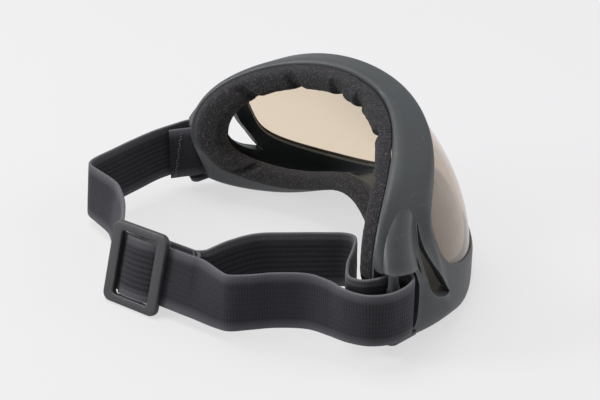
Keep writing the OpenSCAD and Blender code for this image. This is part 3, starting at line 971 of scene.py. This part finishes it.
def slider_mesh():
    outer = rounded_rect(slider_l / 2, slider_h / 2, slider_corner)
    inner = rounded_rect(slider_l / 2 - bar_w, slider_h / 2 - rail_w, window_corner)
    low, high = plate_at, plate_at + slider_t
    rows = []
    for (ox, oz), (ix, iz) in zip(outer, inner):
        rows.append(rounded([(vec(ix, low, iz), 0.4), (vec(ox, low, oz), 0.5),
                             (vec(ox, high, oz), 0.8), (vec(ix, high, iz), 0.7)], 4))
    half_w, rear, fore = bar_w / 2, bar_at - bar_t / 2, bar_at + bar_t / 2
    bar = box_mesh("bar", (-half_w, rear, -bar_reach), (half_w, fore, bar_reach))
    parts = [swept("plate", rows, closed=True), bevelled(bar, 0.5)]
    for z in (-bar_reach, bar_reach - link_h):
        link = box_mesh("link", (-half_w, rear, z), (half_w, plate_at + slider_t / 2, z + link_h))
        parts.append(bevelled(link, 0.4))
    for m in parts:
        smooth(m, 40)
    return placed(joined("slider", parts))


piece("slider_buckle", slider_mesh(), SLIDER_PLASTIC, "slider", "slider")


# Stitching of the far loop: a slanted row of stitches across the webbing, seen on both its faces
seam_stop, seam_half_w, seam_lean, seam_count, thread_r = 6, 11, 0.22, 15, 0.16
stitch_length, stitch_slant, stitch_lift = 0.75, 0.9, 0.3


def stitch(route, k, side):
    """One stitch that sinks into the webbing at both ends and lies on it between them."""
    ends, lifts = [], []
    for part, off in ((0, 0.0), (stitch_length, stitch_slant)):
        v = -seam_half_w + 2 * seam_half_w * (k + part) / seam_count
        i = round(seam_stop + seam_lean * v)
        mid, up, face = webbing_frame(route, i)
        run = unit((route[i + 1] - route[i - 1])[:3])
        ends.append(mid + up * v + run * off + face * side * (strap_t / 2 - 0.02))
        lifts.append(face * side * stitch_lift)
    (a, b), lift = ends, lifts[0]
    path = [a - lift * 0.25, a + (b - a) * 0.12 + lift * 0.35, a + (b - a) * 0.5 + lift * 0.5,
            a + (b - a) * 0.88 + lift * 0.35, b - lift * 0.25]
    return tube("stitch", path, thread_r, 6)


def far_seam():
    """The row of stitches on the outside of the loop and the row on its inside."""
    route = eased(placed_from(far_post, far_loop), 10)
    mesh = joined("far_seam", [stitch(route, k, side) for side in (1, -1)
                               for k in range(seam_count)])
    smooth(mesh, 70)
    return mesh


piece("far_seam_threads", far_seam(), THREAD, "strap")


# Stage: pale floor, soft light and a pale surround, in metres
floor_reach = 6


def floor_mesh():
    bm = bmesh.new()
    bmesh.ops.create_grid(bm, x_segments=1, y_segments=1, size=floor_reach,
                          matrix=Matrix.Translation((0, 0, floor_z * MM)))
    return mesh_from("floor", bm)


def stage():
    t = material_tree("floor")
    where = t.add("TexCoord", output=3)
    tone = t.blend(t.noise(where, 3, 2), (0.748, 0.744, 0.748, 1), (0.757, 0.752, 0.764, 1))
    lit = t.add("BsdfDiffuse", {"Color": tone})
    glow = t.add("Emission", {"Color": tone, "Strength": 1.0})
    mesh = floor_mesh()
    mesh.materials.append(t.finish(t.add("MixShader", {0: 0.82, 1: lit, 2: glow})))
    ob = new_object("floor", mesh)


def surround():
    """Soft light from all round, and a plain pale tone that is seen directly or through the lens."""
    world = bpy.data.worlds.new("surround")
    bpy.context.scene.world = world
    t = Tree(world, "OutputWorld")
    rays = t.add("LightPath").node.outputs
    seen_so = t.math("MAXIMUM", rays["Is Camera Ray"], rays["Is Transmission Ray"])
    light = t.add("Background", {"Color": (0.95, 0.97, 1.0, 1), "Strength": 0.74})
    seen = t.add("Background", {"Color": (0.83, 0.83, 0.83, 1), "Strength": 1.0})
    t.finish(t.add("MixShader", {0: seen_so, 1: light, 2: seen}))


def area(name, place, aim, size, power):
    data = bpy.data.lights.new(name, "AREA")
    data.shape, data.size, data.size_y, data.energy = "RECTANGLE", *size, power
    place, aim = Vector(place), Vector(aim)
    turn = (aim - place).to_track_quat("-Z", "Y").to_matrix().to_4x4()
    new_object(name, data).matrix_world = Matrix.Translation(place) @ turn


stage()
surround()
area("key", (0.25, 0.25, 1.5), (0, 0.02, 0), (0.9, 0.9), 17)
area("side", (-0.6, -1.1, 0.6), (0, 0, 0), (0.8, 1.0), 8)
area("rim", (1.2, 0.3, 0.9), (0, 0, 0), (0.9, 0.7), 3)
area("sheen", (0.42, 1.15, 0.52), (-0.05, 0.04, 0), (0.4, 0.35), 13)

scene = bpy.context.scene
scene.view_settings.view_transform = "Standard"
scene.view_settings.look = "None"
